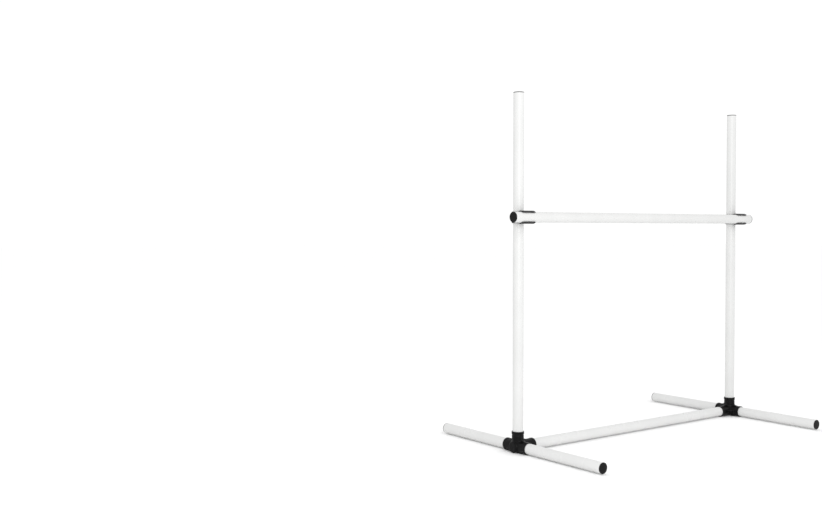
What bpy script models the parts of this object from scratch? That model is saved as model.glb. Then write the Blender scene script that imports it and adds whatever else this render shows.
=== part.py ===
"""Free-standing agility hurdle for dogs, made of white tubes and black fittings.

Two posts stand in four-way base fittings. Each fitting also holds a front foot, a rear
foot and one end of the ground bar. A clip on each post carries the jump bar, and slides
up and down to set its height.

+X runs along the bars, -Y is the side the jump bar snaps in from, and +Z is up.
The origin is on the ground, in the middle of the hurdle. Units are metres.
"""

from math import cos, pi, radians, sin

import bmesh
import bpy
from mathutils import Matrix, Vector

# Overall size
BAR_LENGTH = 0.990          # jump bar over its end caps
FOOT_SPAN = 0.600           # front foot to rear foot, over the end caps
TOP_HEIGHT = 0.940          # ground to the top of a post cap
POST_SPACING = 0.896        # from one post's axis to the other's
BAR_HEIGHT = 0.615          # jump bar's axis above the ground, at rest

# Tube stock
TUBE_RADIUS = 0.014
TUBE_WALL = 0.0018
GAP = 0.0003                # clearance between neighbouring pieces
BORE_RADIUS = TUBE_RADIUS + GAP

# End caps
CAP_FLANGE = 0.0016         # thickness of the disc that covers the tube's end
CAP_CHAMFER = 0.0006
CAP_PLUG = 0.012            # how far the plug reaches into the tube
CAP_WALL = 0.0014

# Base fittings
SOCKET_RADIUS = 0.0158
FOOT_SOCKET_REACH = 0.042   # fitting's centre to the mouth of a foot's socket
POST_SOCKET_REACH = 0.040
BAR_SOCKET_REACH = 0.052
SOCKET_STOP = 0.0165        # fitting's centre to the floor of each bore
RIM_RADIUS = 0.0165
RIM_WIDTH = 0.0075
WEB_THICKNESS = 0.005
WEB_FILLET = 0.011
WEB_ARC_STEPS = 5
CORE_REACH = 0.0160         # fitting's centre to the start of its blind end's taper
NOSE_LENGTH = 0.0035        # length of that taper
NOSE_RADIUS = 0.0125
PAD_SIZE = (0.018, 0.044)   # flat underside of a fitting, across and along the feet
FOOT_AXIS = SOCKET_RADIUS   # height of the feet's axes, with the sockets on the ground

# Bar clips
CLIP_WALL = 0.0029
CLIP_RADIUS = BORE_RADIUS + CLIP_WALL
COLLAR_HEIGHT = 0.030
CRADLE_LENGTH = 0.044
CRADLE_OFFSET = 0.0315      # post's axis to the jump bar's axis
CRADLE_MOUTH = 0.0240       # height of the opening between the two jaws
NECK_SIZE = (0.018, 0.014, 0.024)

SEGMENTS = 24               # facets round every tube, bore and collar
MERGE_DISTANCE = 0.00005
OVERSHOOT = 0.01            # how far a cutter runs past what it cuts
SHARP_ANGLE = radians(40)

ALONG_X = Matrix.Rotation(radians(90), 4, "Y")
ALONG_NEG_X = Matrix.Rotation(radians(-90), 4, "Y")
ALONG_Y = Matrix.Rotation(radians(-90), 4, "X")
ALONG_NEG_Y = Matrix.Rotation(radians(90), 4, "X")
ALONG_Z = Matrix.Identity(4)


def clear_scene():
    for obj in list(bpy.data.objects):
        bpy.data.objects.remove(obj, do_unlink=True)


def make_collection(name):
    collection = bpy.data.collections.new(name)
    bpy.context.scene.collection.children.link(collection)
    return collection


def make_material(name, colour, roughness):
    material = bpy.data.materials.new(name)
    material.use_nodes = True
    shader = material.node_tree.nodes["Principled BSDF"]
    shader.inputs["Base Color"].default_value = (*colour, 1.0)
    shader.inputs["Roughness"].default_value = roughness
    shader.inputs["Metallic"].default_value = 0.0
    material.diffuse_color = (*colour, 1.0)
    return material


def add_object(name, mesh, collection, matrix=ALONG_Z, parent=None):
    """Link a new object, placed by matrix in its parent's frame."""
    obj = bpy.data.objects.new(name, mesh)
    collection.objects.link(obj)
    obj.parent = parent
    obj.matrix_basis = matrix
    return obj


def add_empty(name, location, turn=0.0):
    matrix = Matrix.Translation(location) @ Matrix.Rotation(turn, 4, "Z")
    return add_object(name, None, PARTS, matrix)


def settle(obj, material):
    """Apply the modifiers, then give the piece its material and its shading."""
    bpy.context.view_layer.update()
    depsgraph = bpy.context.evaluated_depsgraph_get()
    mesh = bpy.data.meshes.new_from_object(obj.evaluated_get(depsgraph))
    obj.modifiers.clear()
    obj.data = mesh
    mesh.name = obj.name
    mesh.materials.clear()
    mesh.materials.append(material)
    mesh.shade_smooth()
    mesh.set_sharp_from_angle(angle=SHARP_ANGLE)


def turned(name, profile, closed, matrix, material, parent=None):
    """A piece turned about local Z from a profile of (radius, height) points."""
    edges = [(i, i + 1) for i in range(len(profile) - 1)]
    if closed:
        edges.append((len(profile) - 1, 0))
    mesh = bpy.data.meshes.new(name)
    mesh.from_pydata([(radius, 0.0, height) for radius, height in profile], edges, [])
    obj = add_object(name, mesh, PARTS, matrix, parent)
    screw = obj.modifiers.new("turn", "SCREW")
    screw.axis = "Z"
    screw.angle = 2 * pi
    screw.steps = SEGMENTS
    screw.render_steps = SEGMENTS
    screw.use_merge_vertices = True
    screw.merge_threshold = MERGE_DISTANCE
    settle(obj, material)
    return obj


def tube(name, start, direction, length, parent=None):
    """A length of hollow tube that leaves start in the given direction."""
    inner = TUBE_RADIUS - TUBE_WALL
    profile = [
        (TUBE_RADIUS, length),
        (TUBE_RADIUS, 0.0),
        (inner, 0.0),
        (inner, length),
    ]
    turned(name, profile, True, Matrix.Translation(start) @ direction, WHITE, parent)


def end_cap(name, tube_end, direction, parent=None):
    """A disc that covers a tube's end, with a hollow plug inside the tube."""
    plug = TUBE_RADIUS - TUBE_WALL - GAP
    hollow = plug - CAP_WALL
    seat = GAP
    face = seat + CAP_FLANGE
    profile = [
        (0.0, face),
        (TUBE_RADIUS - CAP_CHAMFER, face),
        (TUBE_RADIUS, face - CAP_CHAMFER),
        (TUBE_RADIUS, seat),
        (plug, seat),
        (plug, -CAP_PLUG),
        (hollow, -CAP_PLUG),
        (hollow, 0.0),
        (0.0, 0.0),
    ]
    turned(name, profile, False, Matrix.Translation(tube_end) @ direction, BLACK_CAP, parent)


def capped_reach(reach):
    """Where a tube has to end so that its cap's face comes at reach."""
    return reach - CAP_FLANGE - GAP


def rod(name, radius, start, direction, length, parent, tip_radius=None):
    """A solid round guide that leaves start in the given direction, tapered if it has a tip."""
    mesh = bpy.data.meshes.new(name)
    shape = bmesh.new()
    bmesh.ops.create_cone(
        shape,
        cap_ends=True,
        segments=SEGMENTS,
        radius1=radius,
        radius2=tip_radius or radius,
        depth=length,
        matrix=Matrix.Translation((0.0, 0.0, length / 2)),
    )
    shape.to_mesh(mesh)
    shape.free()
    return add_guide(name, mesh, Matrix.Translation(start) @ direction, parent)


def block(name, low, high, parent):
    """A solid box guide between two corners."""
    low = Vector(low)
    high = Vector(high)
    mesh = bpy.data.meshes.new(name)
    shape = bmesh.new()
    bmesh.ops.create_cube(shape, size=1.0, matrix=Matrix.Diagonal((*(high - low), 1.0)))
    shape.to_mesh(mesh)
    shape.free()
    return add_guide(name, mesh, Matrix.Translation((low + high) / 2), parent)


def plate(name, outline, thickness, turn, parent):
    """A flat plate from an outline in its local XY plane, half its thickness each side."""
    curve = bpy.data.curves.new(name, "CURVE")
    curve.dimensions = "2D"
    curve.fill_mode = "BOTH"
    curve.extrude = thickness / 2
    spline = curve.splines.new("POLY")
    spline.points.add(len(outline) - 1)
    for point, (x, y) in zip(spline.points, outline):
        point.co = (x, y, 0.0, 1.0)
    spline.use_cyclic_u = True
    source = add_object(name + "_outline", curve, GUIDES)
    bpy.context.view_layer.update()
    depsgraph = bpy.context.evaluated_depsgraph_get()
    mesh = bpy.data.meshes.new_from_object(source.evaluated_get(depsgraph))
    bpy.data.objects.remove(source, do_unlink=True)
    shape = bmesh.new()
    shape.from_mesh(mesh)
    bmesh.ops.remove_doubles(shape, verts=shape.verts, dist=MERGE_DISTANCE)
    bmesh.ops.recalc_face_normals(shape, faces=shape.faces)
    shape.to_mesh(mesh)
    shape.free()
    return add_guide(name, mesh, turn, parent)


def add_guide(name, mesh, matrix, parent):
    """A piece that only shapes another one, by a Boolean."""
    guide = add_object(name, mesh, GUIDES, matrix, parent)
    guide.hide_render = True
    guide.display_type = "WIRE"
    return guide


def apply_guides(obj, operation, guides):
    for guide in guides:
        modifier = obj.modifiers.new(guide.name, "BOOLEAN")
        modifier.operation = operation
        modifier.solver = "EXACT"
        modifier.object = guide


def body_from(name, guide, parent):
    """A visible piece that starts as a copy of a guide's mesh."""
    return add_object(name, guide.data.copy(), PARTS, guide.matrix_basis, parent)


def web_outline():
    """A quarter corner between two sockets, with a hollow fillet across it."""
    centre = SOCKET_RADIUS + WEB_FILLET
    outline = [(0.0, 0.0), (centre, 0.0)]
    for step in range(WEB_ARC_STEPS + 1):
        angle = radians(270 - 90 * step / WEB_ARC_STEPS)
        outline.append((centre + WEB_FILLET * cos(angle), centre + WEB_FILLET * sin(angle)))
    outline.append((0.0, centre))
    return outline


def spanning(first, second):
    """A frame whose X and Y run along two directions."""
    first = Vector(first)
    second = Vector(second)
    return Matrix((first, second, first.cross(second))).transposed().to_4x4()


def fitting_webs(name, hub):
    """Webs that brace each pair of neighbouring sockets."""
    front = (0.0, -1.0, 0.0)
    rear = (0.0, 1.0, 0.0)
    post_way = (0.0, 0.0, 1.0)
    bar_way = (1.0, 0.0, 0.0)
    pairs = {
        "front_web": (front, post_way),
        "rear_web": (rear, post_way),
        "bar_web": (bar_way, post_way),
        "bar_front_web": (bar_way, front),
        "bar_rear_web": (bar_way, rear),
    }
    return [
        plate(f"{name}_{web}", web_outline(), WEB_THICKNESS, spanning(*ways), hub)
        for web, ways in pairs.items()
    ]


def base_fitting(name, hub):
    """Two feet's sockets, one post's and the ground bar's along +X, with a blind end along -X."""
    ways = {
        "front": (ALONG_NEG_Y, FOOT_SOCKET_REACH),
        "rear": (ALONG_Y, FOOT_SOCKET_REACH),
        "post": (ALONG_Z, POST_SOCKET_REACH),
        "bar": (ALONG_X, BAR_SOCKET_REACH),
    }
    sockets = []
    bores = []
    for way, (direction, reach) in ways.items():
        label = f"{name}_{way}"
        behind = CORE_REACH if way == "bar" else 0.0
        start = direction @ Vector((0.0, 0.0, -behind))
        rim_start = direction @ Vector((0.0, 0.0, reach - RIM_WIDTH))
        bore_start = direction @ Vector((0.0, 0.0, SOCKET_STOP))
        body_length = behind + reach - RIM_WIDTH / 2
        bore_length = reach - SOCKET_STOP + OVERSHOOT
        sockets.append(rod(label + "_socket", SOCKET_RADIUS, start, direction, body_length, hub))
        sockets.append(rod(label + "_rim", RIM_RADIUS, rim_start, direction, RIM_WIDTH, hub))
        bores.append(rod(label + "_bore", BORE_RADIUS, bore_start, direction, bore_length, hub))

    half_across, half_along = (size / 2 for size in PAD_SIZE)
    low = -FOOT_AXIS
    pad = block(
        name + "_pad",
        (-half_across, -half_along, low - OVERSHOOT / 2),
        (half_across, half_along, low / 2),
        hub,
    )
    ground = block(
        name + "_ground",
        (-BAR_SOCKET_REACH, -2 * FOOT_SOCKET_REACH, low - 2 * OVERSHOOT),
        (2 * BAR_SOCKET_REACH, 2 * FOOT_SOCKET_REACH, low),
        hub,
    )
    nose = rod(
        name + "_nose",
        SOCKET_RADIUS,
        (-CORE_REACH, 0.0, 0.0),
        ALONG_NEG_X,
        NOSE_LENGTH,
        hub,
        NOSE_RADIUS,
    )

    fitting = body_from(name, nose, hub)
    apply_guides(fitting, "UNION", sockets + fitting_webs(name, hub) + [pad])
    apply_guides(fitting, "DIFFERENCE", bores + [ground])
    settle(fitting, BLACK_FITTING)


def bar_clip(side, seat):
    """A collar on the post with a C-shaped cradle in front that the jump bar snaps into.

    The cradle's two springy jaws, in front of the bar's axis, are pieces of their own.
    """
    name = f"{side}_bar_clip"
    half_length = CRADLE_LENGTH / 2
    bar_axis = Vector((0.0, -CRADLE_OFFSET, 0.0))
    cradle_start = bar_axis - Vector((half_length, 0.0, 0.0))
    bar_bore_start = cradle_start - Vector((OVERSHOOT, 0.0, 0.0))
    collar_start = Vector((0.0, 0.0, -COLLAR_HEIGHT / 2))
    post_bore_start = collar_start - Vector((0.0, 0.0, OVERSHOOT))

    collar = rod(name + "_collar", CLIP_RADIUS, collar_start, ALONG_Z, COLLAR_HEIGHT, seat)
    cradle = rod(name + "_cradle", CLIP_RADIUS, cradle_start, ALONG_X, CRADLE_LENGTH, seat)
    half_neck = Vector(NECK_SIZE) / 2
    neck_centre = Vector((0.0, -CRADLE_OFFSET / 2, 0.0))
    neck = block(name + "_neck", neck_centre - half_neck, neck_centre + half_neck, seat)
    post_bore = rod(
        name + "_post_bore",
        BORE_RADIUS,
        post_bore_start,
        ALONG_Z,
        COLLAR_HEIGHT + 2 * OVERSHOOT,
        seat,
    )
    bar_bore = rod(
        name + "_bar_bore",
        BORE_RADIUS,
        bar_bore_start,
        ALONG_X,
        CRADLE_LENGTH + 2 * OVERSHOOT,
        seat,
    )

    reach = half_length + OVERSHOOT
    front = -CRADLE_OFFSET - CLIP_RADIUS - OVERSHOOT
    split = -CRADLE_OFFSET
    ahead = block(
        name + "_ahead",
        (-reach, front, -2 * CLIP_RADIUS),
        (reach, split + GAP / 2, 2 * CLIP_RADIUS),
        seat,
    )
    behind = block(
        name + "_behind",
        (-reach, split - GAP / 2, -2 * CLIP_RADIUS),
        (reach, CLIP_RADIUS, 2 * CLIP_RADIUS),
        seat,
    )
    below_upper_jaw = block(
        name + "_below_upper_jaw",
        (-reach, front, -2 * CLIP_RADIUS),
        (reach, CLIP_RADIUS, CRADLE_MOUTH / 2),
        seat,
    )
    above_lower_jaw = block(
        name + "_above_lower_jaw",
        (-reach, front, -CRADLE_MOUTH / 2),
        (reach, CLIP_RADIUS, 2 * CLIP_RADIUS),
        seat,
    )

    clip = body_from(name, collar, seat)
    apply_guides(clip, "UNION", [cradle, neck])
    apply_guides(clip, "DIFFERENCE", [post_bore, bar_bore, ahead])
    settle(clip, BLACK_CLIP)

    for jaw_name, mouth_side in (("upper", below_upper_jaw), ("lower", above_lower_jaw)):
        jaw = body_from(f"{side}_clip_{jaw_name}_jaw", cradle, seat)
        apply_guides(jaw, "DIFFERENCE", [bar_bore, mouth_side, behind])
        settle(jaw, BLACK_CLIP)


def foot(side, end, x):
    """A front or rear foot tube with its end cap."""
    direction = ALONG_NEG_Y if end == "front" else ALONG_Y
    start = SOCKET_STOP + GAP
    tube_end = capped_reach(FOOT_SPAN / 2)
    place = Matrix.Translation((x, 0.0, FOOT_AXIS)) @ direction
    first = place @ Vector((0.0, 0.0, start))
    last = place @ Vector((0.0, 0.0, tube_end))
    tube(f"{side}_{end}_foot_tube", first, direction, tube_end - start)
    end_cap(f"{side}_{end}_foot_cap", last, direction)


def post(side, x):
    bottom = FOOT_AXIS + SOCKET_STOP + GAP
    top = capped_reach(TOP_HEIGHT)
    tube(f"{side}_post_tube", (x, 0.0, bottom), ALONG_Z, top - bottom)
    end_cap(f"{side}_post_cap", (x, 0.0, top), ALONG_Z)


def ground_bar():
    half = POST_SPACING / 2 - SOCKET_STOP - GAP
    tube("ground_bar_tube", (-half, 0.0, FOOT_AXIS), ALONG_X, 2 * half)


def jump_bar():
    """The jump bar and its caps, all on an empty at the middle of the bar's axis."""
    middle = add_empty("jump_bar_axis", (0.0, -CRADLE_OFFSET, BAR_HEIGHT))
    half = capped_reach(BAR_LENGTH / 2)
    tube("jump_bar_tube", (-half, 0.0, 0.0), ALONG_X, 2 * half, middle)
    end_cap("jump_bar_left_cap", (-half, 0.0, 0.0), ALONG_NEG_X, middle)
    end_cap("jump_bar_right_cap", (half, 0.0, 0.0), ALONG_X, middle)


def upright(side, x, turn):
    """One post with its base fitting, its two feet and its bar clip."""
    hub = add_empty(f"{side}_base_centre", (x, 0.0, FOOT_AXIS), turn)
    base_fitting(f"{side}_base_fitting", hub)
    post(side, x)
    for end in ("front", "rear"):
        foot(side, end, x)
    seat = add_empty(f"{side}_clip_centre", (x, 0.0, BAR_HEIGHT))
    bar_clip(side, seat)


clear_scene()
PARTS = make_collection("agility_hurdle")
GUIDES = make_collection("cutters")
WHITE = make_material("white_tube", (0.90, 0.90, 0.89), 0.32)
BLACK_FITTING = make_material("black_fitting", (0.018, 0.018, 0.019), 0.45)
BLACK_CLIP = make_material("black_clip", (0.014, 0.014, 0.015), 0.40)
BLACK_CAP = make_material("black_cap", (0.016, 0.016, 0.017), 0.50)

upright("left", -POST_SPACING / 2, 0.0)
upright("right", POST_SPACING / 2, pi)
ground_bar()
jump_bar()
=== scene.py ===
"""Studio picture of the agility hurdle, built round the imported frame.

Each tube, end cap, base fitting and bar clip is made here as a fine mesh that replaces its
plain CAD node. The turned pieces are spun from profiles. The mouldings, whose sockets melt
into each other with fillets, are meshed from distance functions. Units are metres.
"""

from itertools import product
from math import cos, pi, radians, sin

import bmesh
import bpy
import numpy as np
from mathutils import Euler, Matrix, Vector


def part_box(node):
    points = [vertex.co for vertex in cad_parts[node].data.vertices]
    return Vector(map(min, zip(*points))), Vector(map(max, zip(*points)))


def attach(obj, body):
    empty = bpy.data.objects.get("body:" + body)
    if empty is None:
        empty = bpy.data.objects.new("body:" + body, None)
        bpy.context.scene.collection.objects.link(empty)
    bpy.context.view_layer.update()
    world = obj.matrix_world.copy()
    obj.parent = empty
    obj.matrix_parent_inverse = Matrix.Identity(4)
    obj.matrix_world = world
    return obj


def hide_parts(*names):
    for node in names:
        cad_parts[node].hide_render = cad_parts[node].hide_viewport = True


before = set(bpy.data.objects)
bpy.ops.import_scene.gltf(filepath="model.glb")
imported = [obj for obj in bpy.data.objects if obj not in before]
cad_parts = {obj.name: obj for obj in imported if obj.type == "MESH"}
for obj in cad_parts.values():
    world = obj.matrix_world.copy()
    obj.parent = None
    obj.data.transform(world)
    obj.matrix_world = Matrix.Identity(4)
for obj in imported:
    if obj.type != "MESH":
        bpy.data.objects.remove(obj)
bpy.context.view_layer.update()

# Camera, at the viewing angle of the reference view
CAMERA_PLACE = (-2.215, -1.936, 0.585)
CAMERA_YAW = radians(36.26)         # turned from +Y towards +X
CAMERA_PITCH = radians(-1.44)
CAMERA_LENS = 43.8
SENSOR_WIDTH = 36.0

# Light: an even white world, and an upright soft box beside the camera
WORLD_STRENGTH = 1.04
KEY_PLACE = (-1.7, -2.4, 1.15)
KEY_AIM = (-0.2, 0.0, 0.80)
KEY_SIZE = (0.5, 1.9)
KEY_POWER = 29.5
FLOOR_SIZE = 30.0

# Sizes shared with the CAD model
TUBE_RADIUS = 0.014
TUBE_WALL = 0.0018
SOCKET_RADIUS = 0.0158
FOOT_SOCKET_REACH = 0.042
POST_SOCKET_REACH = 0.040
BAR_SOCKET_REACH = 0.052
SOCKET_STOP = 0.0165
RIM_RADIUS = 0.0165
RIM_WIDTH = 0.0075
CORE_REACH = 0.0195         # fitting's centre to the face of its blind end
WEB_THICKNESS = 0.005
WEB_FILLET = 0.011
PAD_HALF = (0.009, 0.022)
CLIP_RADIUS = 0.0172
COLLAR_HEIGHT = 0.030
CRADLE_LENGTH = 0.044
CRADLE_OFFSET = 0.0315
CRADLE_MOUTH = 0.0240
NECK_HALF = (0.009, 0.007, 0.012)

# Fine detail
SOFT_EDGE = 0.0008          # rounding of a moulding's outer edges
BORE_EDGE = 0.0007          # rounding where a bore meets the moulding's outside
SOCKET_FILLET = 0.0035      # blend between neighbouring sockets
WEB_BLEND = 0.003
CORE_EDGE = 0.005           # rounding of a fitting's blind end
CORE_BLEND = 0.002
RIM_BLEND = 0.0005
FOOT_EDGE = 0.0006          # rounding round a fitting's flat underside
SLIP = 0.0002               # gap between a tube and the bore round it
TUBE_SEGMENTS = 96
TUBE_EDGE = 0.0004          # rounding of a sawn tube end
CAP_FLANGE = 0.0016
CAP_SEAT = 0.0003
CAP_EDGE = 0.0007
CAP_PLUG = 0.012
CAP_PLUG_WALL = 0.0014
CAP_PLUG_SLIP = 0.0004
CAP_RIBS = 3                # rings on a cap's plug that grip the tube
CAP_RIB_HEIGHT = 0.0003
CAP_RIB_SPACING = 0.0032
GROOVE_WIDTH = 0.0022       # line moulded round a socket behind its rim
GROOVE_DEPTH = 0.0006
FITTING_STEP = 0.00062      # mesh spacing on the base fittings
CLIP_STEP = 0.0005


# ---------------------------------------------------------------- geometry helpers

def add_piece(name, mesh, matrix, material, pattern):
    """Link a piece. Its pattern number shifts its texture, so that no two look the same."""
    piece = bpy.data.objects.new(name, mesh)
    bpy.context.scene.collection.objects.link(piece)
    piece.matrix_world = matrix
    piece["pattern"] = float(pattern)
    mesh.materials.append(material)
    return piece


def turned_mesh(name, profile, closed, segments=TUBE_SEGMENTS):
    """A mesh turned about Z. The profile of (radius, height) points runs down its outside.

    Its points and faces are made in a fixed order, so that each run gives the same mesh.
    """
    points = []
    rings = []
    for radius, height in profile:
        steps = segments if radius > 0.0 else 1
        turns = [2 * pi * step / steps for step in range(steps)]
        rings.append([len(points) + step for step in range(steps)])
        points += [(radius * cos(turn), radius * sin(turn), height) for turn in turns]
    pairs = list(zip(rings, rings[1:]))
    if closed:
        pairs.append((rings[-1], rings[0]))
    faces = []
    for upper, lower in pairs:
        for step in range(segments):
            places = ((upper, step), (lower, step), (lower, step + 1), (upper, step + 1))
            corners = [ring[place % len(ring)] for ring, place in places]
            # On the axis a ring is one point, so that two corners are the same.
            faces.append(list(dict.fromkeys(corners)))
    mesh = bpy.data.meshes.new(name)
    mesh.from_pydata(points, [], faces)
    mesh.shade_smooth()
    mesh.set_sharp_from_angle(angle=radians(50))
    return mesh


def arc(centre_radius, centre_height, size, start, stop, steps=4):
    """Points of a rounded corner in a profile, with angles in degrees."""
    angles = [radians(start + (stop - start) * i / steps) for i in range(steps + 1)]
    return [
        (centre_radius + size * cos(angle), centre_height + size * sin(angle))
        for angle in angles
    ]


def tube_profile(length):
    inner = TUBE_RADIUS - TUBE_WALL
    edge = TUBE_EDGE
    stops = 24
    outside = [
        (TUBE_RADIUS, length - edge - (length - 2 * edge) * i / stops) for i in range(1, stops)
    ]
    return (
        arc(inner + edge, length - edge, edge, 180, 90)
        + arc(TUBE_RADIUS - edge, length - edge, edge, 90, 0)
        + outside
        + arc(TUBE_RADIUS - edge, edge, edge, 0, -90)
        + arc(inner + edge, edge, edge, -90, -180)
    )


def cap_profile():
    """A thin, slightly domed disc on a ribbed, hollow plug."""
    top = CAP_SEAT + CAP_FLANGE
    edge = CAP_EDGE
    plug = TUBE_RADIUS - TUBE_WALL - CAP_PLUG_SLIP
    hollow = plug - CAP_PLUG_WALL
    crown = [(0.0, top), (0.004, top - 0.00003), (0.008, top - 0.00012)]
    rim = arc(TUBE_RADIUS - edge, top - edge, edge, 80, 0, 5)
    under = [(TUBE_RADIUS - 0.00015, CAP_SEAT + 0.0002), (TUBE_RADIUS - 0.0005, CAP_SEAT)]
    plug_side = [(plug, CAP_SEAT)]
    for rib in range(CAP_RIBS):
        height = -0.0025 - CAP_RIB_SPACING * rib
        crest = (plug + CAP_RIB_HEIGHT, height)
        plug_side += [(plug, height + 0.0008), crest, (plug, height - 0.0008)]
    tip = [(plug, -CAP_PLUG + 0.001), (plug - 0.0005, -CAP_PLUG), (hollow, -CAP_PLUG)]
    return crown + rim + under + plug_side + tip + [(hollow, 0.0), (0.0, 0.0)]


def net_surface(name, distance, low, high, step):
    """Mesh the zero surface of a distance function, by surface nets on a regular grid."""
    low = np.array(low) - 1.5 * step
    counts = np.ceil((np.array(high) + 1.5 * step - low) / step).astype(int) + 1
    nodes = np.stack(np.meshgrid(*(np.arange(n) for n in counts), indexing="ij"), axis=-1)
    value = distance(low + step * nodes)
    inside = value < 0
    offsets = [np.array(corner) for corner in product((0, 1), repeat=3)]
    tally = sum(
        inside[a : counts[0] - 1 + a, b : counts[1] - 1 + b, c : counts[2] - 1 + c].astype(int)
        for a, b, c in offsets
    )
    cells = np.argwhere((tally > 0) & (tally < 8))
    number = np.full(tally.shape, -1)
    number[tuple(cells.T)] = np.arange(len(cells))

    # One vertex in each cell that the surface crosses, at the mean of its edges' crossings
    total = np.zeros((len(cells), 3))
    crossings = np.zeros((len(cells), 1))
    for start, end in product(offsets, repeat=2):
        if (end - start).min() < 0 or (end - start).sum() != 1:
            continue
        first = value[tuple((cells + start).T)]
        last = value[tuple((cells + end).T)]
        crossed = (first < 0) != (last < 0)
        part = np.where(crossed, first / np.where(crossed, first - last, 1.0), 0.0)
        total += crossed[:, None] * (cells + start + part[:, None] * (end - start))
        crossings += crossed[:, None]
    points = settle_points(distance, low + step * total / crossings, step)

    # One quad round each grid edge that the surface crosses
    quads = []
    for axis in range(3):
        u, v = (axis + 1) % 3, (axis + 2) % 3
        lower = np.take(inside, np.arange(counts[axis] - 1), axis)
        upper = np.take(inside, np.arange(1, counts[axis]), axis)
        edges = np.argwhere(lower != upper)
        leaving = lower[tuple(edges.T)]
        ring = []
        for du, dv in ((0, 0), (-1, 0), (-1, -1), (0, -1)):
            cell = edges.copy()
            cell[:, u] += du
            cell[:, v] += dv
            ring.append(number[tuple(cell.T)])
        ring = np.stack(ring, axis=-1)
        quads.append(np.where(leaving[:, None], ring, ring[:, ::-1]))
    mesh = bpy.data.meshes.new(name)
    mesh.from_pydata(points.tolist(), [], np.concatenate(quads).tolist())
    mesh.shade_smooth()
    return mesh


def settle_points(distance, points, step):
    """Move points onto the zero surface along the distance function's slope."""
    reach = 0.05 * step
    for _ in range(4):
        slope = np.stack(
            [
                distance(points + shift) - distance(points - shift)
                for shift in reach * np.eye(3)
            ],
            axis=-1,
        ) / (2 * reach)
        size = np.maximum((slope**2).sum(-1, keepdims=True), 0.05)
        move = distance(points)[:, None] * slope / size
        points = points - np.clip(move, -0.5 * step, 0.5 * step)
    return points


# ---------------------------------------------------------------- distance functions

def melt(a, b, size):
    """Union with a fillet."""
    near = np.maximum(size - np.abs(a - b), 0.0) / size
    return np.minimum(a, b) - near**2 * size / 4


def carve(a, b, size):
    """Cut b out of a, with a rounded edge."""
    return -melt(-a, b, size)


def rod_distance(p, axis, start, end, radius, rounding):
    """A round rod along one coordinate axis, from start to end on it."""
    others = [i for i in range(3) if i != axis]
    radial = np.hypot(p[..., others[0]], p[..., others[1]]) - (radius - rounding)
    along = np.abs(p[..., axis] - (start + end) / 2) - (abs(end - start) / 2 - rounding)
    outside = np.hypot(np.maximum(radial, 0.0), np.maximum(along, 0.0))
    return outside + np.minimum(np.maximum(radial, along), 0.0) - rounding


def box_distance(p, half, rounding):
    reach = np.abs(p) - (np.array(half) - rounding)
    outside = np.linalg.norm(np.maximum(reach, 0.0), axis=-1)
    return outside + np.minimum(reach.max(axis=-1), 0.0) - rounding


def web_distance(u, v, w):
    """A flat web in the corner between two sockets along u and v, hollowed by a fillet."""
    centre = SOCKET_RADIUS + WEB_FILLET
    hollow = WEB_FILLET - np.hypot(u - centre, v - centre)
    flat = np.maximum(np.maximum(hollow, np.maximum(u, v) - centre), -np.minimum(u, v))
    return np.maximum(flat, np.abs(w) - WEB_THICKNESS / 2)


def groove_distance(p, axis, start, way):
    """A shallow ring cut into a socket, from start inwards. The mouth lies the given way."""
    around = rod_distance(p, axis, start - way * GROOVE_WIDTH, start, SOCKET_RADIUS + 0.01, 0.0)
    left_in = rod_distance(p, axis, start - 0.02, start + 0.02, SOCKET_RADIUS - GROOVE_DEPTH, 0.0)
    return np.maximum(around, -left_in)


def fitting_distance(p):
    """The base fitting: feet along Y, the post along +Z and the ground bar along +X."""
    x, y, z = p[..., 0], p[..., 1], p[..., 2]
    feet = rod_distance(p, 1, -FOOT_SOCKET_REACH, FOOT_SOCKET_REACH, SOCKET_RADIUS, SOFT_EDGE)
    post = rod_distance(p, 2, 0.0, POST_SOCKET_REACH, SOCKET_RADIUS, SOFT_EDGE)
    bar = rod_distance(p, 0, 0.0, BAR_SOCKET_REACH, SOCKET_RADIUS, SOFT_EDGE)
    core = rod_distance(p, 0, -CORE_REACH, 0.0, SOCKET_RADIUS, CORE_EDGE)
    body = melt(melt(feet, post, SOCKET_FILLET), bar, SOCKET_FILLET)
    body = melt(body, core, CORE_BLEND)
    webs = [web_distance(np.abs(y), z, x), web_distance(x, z, y), web_distance(x, np.abs(y), z)]
    for web in webs:
        body = melt(body, web, WEB_BLEND)

    # The coordinate axis and the signed reach of each socket
    sockets = (
        (1, FOOT_SOCKET_REACH),
        (1, -FOOT_SOCKET_REACH),
        (2, POST_SOCKET_REACH),
        (0, BAR_SOCKET_REACH),
    )
    for axis, reach in sockets:
        start = reach - np.sign(reach) * RIM_WIDTH
        body = carve(body, groove_distance(p, axis, start, np.sign(reach)), RIM_BLEND)
        rim = rod_distance(p, axis, start, reach, RIM_RADIUS, SOFT_EDGE)
        body = melt(body, rim, RIM_BLEND)
    pad_centre = np.array((0.0, 0.0, -SOCKET_RADIUS / 2))
    pad = box_distance(p - pad_centre, (*PAD_HALF, SOCKET_RADIUS / 2), 0.001)
    body = melt(body, pad, WEB_BLEND)
    body = carve(body, z + SOCKET_RADIUS, FOOT_EDGE)
    past = BAR_SOCKET_REACH + 0.01
    for axis, reach in sockets:
        way = np.sign(reach)
        bore = rod_distance(p, axis, way * SOCKET_STOP, way * past, TUBE_RADIUS + SLIP, 0.0002)
        body = carve(body, bore, BORE_EDGE)
    return body


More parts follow.
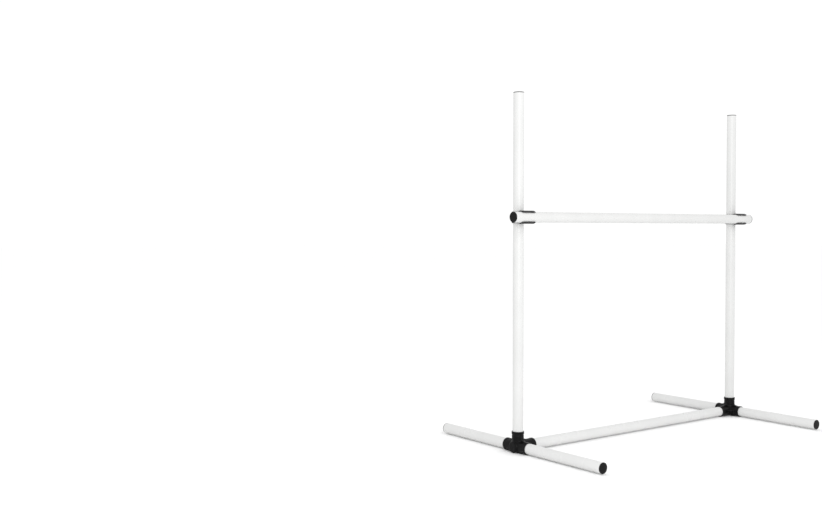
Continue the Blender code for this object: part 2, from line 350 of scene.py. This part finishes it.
def clip_distance(p):
    """The bar clip: a collar round the post, and a C-shaped cradle in front of it."""
    far = 1.0
    bore = TUBE_RADIUS + SLIP
    in_cradle = p + np.array((0.0, CRADLE_OFFSET, 0.0))
    half = CRADLE_LENGTH / 2
    collar = rod_distance(p, 2, -COLLAR_HEIGHT / 2, COLLAR_HEIGHT / 2, CLIP_RADIUS, SOFT_EDGE)
    cradle = rod_distance(in_cradle, 0, -half, half, CLIP_RADIUS, SOFT_EDGE)
    neck_centre = np.array((0.0, -CRADLE_OFFSET / 2, 0.0))
    neck = box_distance(p - neck_centre, NECK_HALF, 0.002)
    body = melt(melt(collar, cradle, 0.003), neck, 0.004)
    body = carve(body, rod_distance(p, 2, -far, far, bore, SOFT_EDGE), BORE_EDGE)
    body = carve(body, rod_distance(in_cradle, 0, -far, far, bore, SOFT_EDGE), BORE_EDGE)
    mouth_centre = np.array((0.0, -far, 0.0))
    mouth = box_distance(in_cradle - mouth_centre, (far, far, CRADLE_MOUTH / 2), 0.0)
    return carve(body, mouth, 0.0016)


# ---------------------------------------------------------------- materials

class Graph:
    """Short ways to build a material's node tree."""

    def __init__(self, name):
        self.material = bpy.data.materials.new(name)
        self.material.use_nodes = True
        self.tree = self.material.node_tree
        self.shader = self.tree.nodes["Principled BSDF"]

    def node(self, kind, **settings):
        made = self.tree.nodes.new("ShaderNode" + kind)
        for key, value in settings.items():
            setattr(made, key, value)
        return made

    def link(self, source, target):
        self.tree.links.new(source, target)

    def coordinates(self, scale=(1.0, 1.0, 1.0)):
        """The piece's own coordinates, scaled, and shifted by its pattern number."""
        place = self.node("TexCoord").outputs["Object"]
        number = self.node("Attribute", attribute_type="OBJECT", attribute_name="pattern")
        shifted = self.node("VectorMath", operation="ADD")
        self.link(place, shifted.inputs[0])
        self.link(number.outputs["Vector"], shifted.inputs[1])
        mapping = self.node("Mapping")
        mapping.inputs["Scale"].default_value = scale
        self.link(shifted.outputs[0], mapping.inputs["Vector"])
        return mapping.outputs["Vector"]

    def noise(self, vector, scale, detail=3.0, roughness=0.5, distortion=0.0):
        made = self.node("TexNoise")
        made.inputs["Scale"].default_value = scale
        made.inputs["Detail"].default_value = detail
        made.inputs["Roughness"].default_value = roughness
        made.inputs["Distortion"].default_value = distortion
        self.link(vector, made.inputs["Vector"])
        return made.outputs["Fac"]

    def spread(self, source, low, high, to_low, to_high):
        """Map a value's range onto another one, and clamp it."""
        made = self.node("MapRange")
        for key, value in zip(("From Min", "From Max", "To Min", "To Max"),
                              (low, high, to_low, to_high)):
            made.inputs[key].default_value = value
        self.link(source, made.inputs["Value"])
        return made.outputs["Result"]

    def blend(self, factor, first, second):
        """Mix two colours, each a tuple or another node's output."""
        made = self.node("Mix", data_type="RGBA")
        for key, colour in (("A", first), ("B", second)):
            socket = next(s for s in made.inputs if s.name == key and s.type == "RGBA")
            if isinstance(colour, tuple):
                socket.default_value = (*colour, 1.0)
            else:
                self.link(colour, socket)
        self.link(factor, made.inputs["Factor"])
        return next(s for s in made.outputs if s.type == "RGBA")

    def bump(self, height, strength, distance, below=None):
        made = self.node("Bump")
        made.inputs["Strength"].default_value = strength
        made.inputs["Distance"].default_value = distance
        self.link(height, made.inputs["Height"])
        if below is not None:
            self.link(below, made.inputs["Normal"])
        return made.outputs["Normal"]

    def finish(self, colour, roughness, normal):
        self.link(colour, self.shader.inputs["Base Color"])
        self.link(roughness, self.shader.inputs["Roughness"])
        self.link(normal, self.shader.inputs["Normal"])
        return self.material


def white_tube_material():
    """Extruded white PVC: faint draw lines along the tube, light scuffs and handling dirt."""
    graph = Graph("white_tube")
    graph.shader.inputs["Specular IOR Level"].default_value = 0.3
    along = graph.coordinates((420.0, 420.0, 3.0))
    draw_lines = graph.noise(along, 1.0, 2.0)
    even = graph.coordinates()
    clouds = graph.noise(even, 14.0, 3.0)
    scuff_place = graph.coordinates((60.0, 60.0, 220.0))
    scuff_noise = graph.noise(scuff_place, 1.0, 5.0, 0.7, 0.6)
    scuffs = graph.spread(scuff_noise, 0.66, 0.74, 0.0, 1.0)
    clean = graph.blend(graph.spread(clouds, 0.35, 0.7, 0.0, 1.0),
                        (0.668, 0.669, 0.664), (0.638, 0.641, 0.636))
    colour = graph.blend(graph.spread(scuffs, 0.0, 1.0, 0.0, 0.35), clean, (0.48, 0.48, 0.47))
    base = graph.spread(clouds, 0.3, 0.7, 0.24, 0.34)
    roughness = graph.node("Math", operation="ADD", use_clamp=True)
    graph.link(base, roughness.inputs[0])
    graph.link(graph.spread(scuffs, 0.0, 1.0, 0.0, 0.2), roughness.inputs[1])
    fine = graph.bump(draw_lines, 0.12, 0.0004)
    normal = graph.bump(graph.noise(even, 45.0, 2.0), 0.05, 0.001, fine)
    return graph.finish(colour, roughness.outputs[0], normal)


def black_plastic_material(name, shade, rough, grain):
    """Moulded black plastic: fine spark grain, faint flow marks, and paler edges that are partly
    wear and partly a painted highlight.
    """
    graph = Graph(name)
    graph.shader.inputs["Specular IOR Level"].default_value = 0.10
    place = graph.coordinates()
    flow = graph.noise(graph.coordinates((1.0, 1.0, 0.6)), 55.0, 3.0, 0.55, 0.8)
    spark = graph.noise(place, 2600.0, 2.0, 0.6)
    dust = graph.spread(graph.noise(place, 260.0, 4.0, 0.7), 0.60, 0.72, 0.0, 0.5)
    tone = graph.blend(graph.spread(flow, 0.35, 0.7, 0.0, 1.0),
                       (shade, shade, shade * 1.04), (shade * 1.5, shade * 1.5, shade * 1.55))
    # Convex edges are painted paler: partly edge wear, partly a painted edge highlight.
    edge_pointiness = graph.node("NewGeometry").outputs["Pointiness"]
    edges = graph.spread(edge_pointiness, 0.51, 0.56, 0.0, 0.6)
    rubbed_and_highlit = graph.blend(edges, tone, (0.055, 0.055, 0.057))
    colour = graph.blend(dust, rubbed_and_highlit, (0.014, 0.014, 0.015))
    roughness = graph.node("Math", operation="ADD", use_clamp=True)
    graph.link(graph.spread(flow, 0.3, 0.7, rough - 0.05, rough + 0.06), roughness.inputs[0])
    graph.link(graph.spread(dust, 0.0, 0.5, 0.0, 0.12), roughness.inputs[1])
    coarse = graph.bump(flow, 0.10, 0.0006)
    normal = graph.bump(spark, grain, 0.00006, coarse)
    return graph.finish(colour, roughness.outputs[0], normal)


def floor_material():
    """A pale, matt studio floor with a barely visible mottle."""
    graph = Graph("studio_floor")
    graph.shader.inputs["Specular IOR Level"].default_value = 0.0
    mottle = graph.noise(graph.node("TexCoord").outputs["Object"], 2.0, 3.0)
    colour = graph.blend(mottle, (0.960, 0.960, 0.960), (0.970, 0.970, 0.970))
    rough = graph.spread(mottle, 0.3, 0.7, 0.85, 0.95)
    return graph.finish(colour, rough, graph.bump(mottle, 0.02, 0.001))


# ---------------------------------------------------------------- pieces

def from_to(start, direction):
    """A frame at start whose Z runs along direction."""
    turn = Vector(direction).to_track_quat("Z", "Y").to_matrix().to_4x4()
    return Matrix.Translation(start) @ turn


def stand_for(piece, body, slot, *nodes):
    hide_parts(*nodes)
    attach(piece, body)


def make_tubes(material):
    """A fine tube in the place of each CAD tube, whose box gives its axis and length."""
    tubes = [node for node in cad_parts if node.endswith("_tube")]
    for number, node in enumerate(sorted(tubes)):
        low, high = (Vector(corner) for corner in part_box(node))
        size = high - low
        axis = max(range(3), key=lambda i: size[i])
        direction = Vector([float(i == axis) for i in range(3)])
        start = (low + high) / 2 - direction * size[axis] / 2
        mesh = turned_mesh(node, tube_profile(size[axis]), True)
        name = node.replace("_tube", "_pipe")
        piece = add_piece(name, mesh, from_to(start, direction), material, 1.37 * number)
        body = "jump_bar" if node.startswith("jump_bar") else "frame"
        stand_for(piece, body, "white_tube", node)


def make_caps(material):
    """A cap for each tube end. Its flange is at the outer end of its CAD node's box."""
    outward = {
        "post_cap": (0.0, 0.0, 1.0),
        "front_foot_cap": (0.0, -1.0, 0.0),
        "rear_foot_cap": (0.0, 1.0, 0.0),
        "bar_left_cap": (-1.0, 0.0, 0.0),
        "bar_right_cap": (1.0, 0.0, 0.0),
    }
    mesh = turned_mesh("end_cap", cap_profile(), False)
    caps = [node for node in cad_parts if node.endswith("_cap")]
    for number, node in enumerate(sorted(caps)):
        direction = Vector(next(way for end, way in outward.items() if node.endswith(end)))
        low, high = (Vector(corner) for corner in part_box(node))
        reach = abs((high - low).dot(direction)) / 2
        face = (low + high) / 2 + direction * reach
        seat = face - direction * (CAP_SEAT + CAP_FLANGE)
        name = node.replace("_cap", "_end_cap")
        piece = add_piece(name, mesh.copy(), from_to(seat, direction), material, 2.11 * number)
        body = "jump_bar" if node.startswith("jump_bar") else "frame"
        stand_for(piece, body, "black_cap", node)


def make_fittings(material):
    """Both base fittings: the right one is the left one turned half round."""
    low = (-CORE_REACH, -FOOT_SOCKET_REACH, -SOCKET_RADIUS)
    high = (BAR_SOCKET_REACH, FOOT_SOCKET_REACH, POST_SOCKET_REACH)
    mesh = net_surface("base_fitting", fitting_distance, low, high, FITTING_STEP)
    for number, (side, turn) in enumerate((("left", 0.0), ("right", pi))):
        post_low, post_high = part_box(f"{side}_post_tube")
        place = Vector(((post_low[0] + post_high[0]) / 2, 0.0, SOCKET_RADIUS))
        matrix = Matrix.Translation(place) @ Matrix.Rotation(turn, 4, "Z")
        piece = add_piece(f"{side}_four_way_fitting", mesh.copy(), matrix, material,
                          3.3 * number)
        stand_for(piece, "frame", "black_fitting", f"{side}_base_fitting")


def make_clips(material):
    """Both bar clips. Each mesh is one moulding with its two jaws."""
    half = CRADLE_LENGTH / 2
    low = (-half, -CRADLE_OFFSET - CLIP_RADIUS, -CLIP_RADIUS)
    high = (half, CLIP_RADIUS, CLIP_RADIUS)
    mesh = net_surface("bar_clip", clip_distance, low, high, CLIP_STEP)
    bar_low, bar_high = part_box("jump_bar_tube")
    height = (bar_low[2] + bar_high[2]) / 2
    for number, side in enumerate(("left", "right")):
        post_low, post_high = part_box(f"{side}_post_tube")
        matrix = Matrix.Translation(((post_low[0] + post_high[0]) / 2, 0.0, height))
        piece = add_piece(f"{side}_snap_clip", mesh.copy(), matrix, material, 4.7 * number)
        stand_for(piece, f"{side}_clip", "black_clip", f"{side}_bar_clip",
                  f"{side}_clip_upper_jaw", f"{side}_clip_lower_jaw")


# ---------------------------------------------------------------- studio

def make_floor():
    mesh = bpy.data.meshes.new("studio_floor")
    shape = bmesh.new()
    bmesh.ops.create_grid(shape, x_segments=8, y_segments=8, size=FLOOR_SIZE)
    shape.to_mesh(mesh)
    shape.free()
    mesh.materials.append(floor_material())
    floor = bpy.data.objects.new("studio_floor", mesh)
    bpy.context.scene.collection.objects.link(floor)


def make_world(colour, strength):
    world = bpy.data.worlds.new("studio")
    world.use_nodes = True
    background = world.node_tree.nodes["Background"]
    background.inputs["Color"].default_value = (*colour, 1.0)
    background.inputs["Strength"].default_value = strength
    bpy.context.scene.world = world


def add_light(name, place, aim, size, power):
    """An upright soft box, of a width and a height, at place and pointed at aim."""
    light = bpy.data.lights.new(name, "AREA")
    light.shape = "RECTANGLE"
    light.size, light.size_y = size
    light.energy = power
    lamp = bpy.data.objects.new(name, light)
    bpy.context.scene.collection.objects.link(lamp)
    lamp.location = place
    lamp.rotation_mode = "QUATERNION"
    lamp.rotation_quaternion = (Vector(aim) - Vector(place)).to_track_quat("-Z", "Y")


def make_camera():
    data = bpy.data.cameras.new("camera")
    data.lens = CAMERA_LENS
    data.sensor_width = SENSOR_WIDTH
    data.clip_start = 0.05
    data.clip_end = 200.0
    camera = bpy.data.objects.new("camera", data)
    bpy.context.scene.collection.objects.link(camera)
    camera.location = CAMERA_PLACE
    camera.rotation_euler = Euler((pi / 2 + CAMERA_PITCH, 0.0, -CAMERA_YAW))
    bpy.context.scene.camera = camera


def make_studio():
    bpy.context.scene.view_settings.view_transform = "Standard"
    make_camera()
    make_floor()
    make_world((1.0, 1.0, 1.0), WORLD_STRENGTH)
    add_light("key", KEY_PLACE, KEY_AIM, KEY_SIZE, KEY_POWER)


make_studio()
make_tubes(white_tube_material())
make_caps(black_plastic_material("black_cap", 0.0045, 0.42, 0.5))
make_fittings(black_plastic_material("black_fitting", 0.003, 0.34, 0.35))
make_clips(black_plastic_material("black_clip", 0.004, 0.34, 0.35))
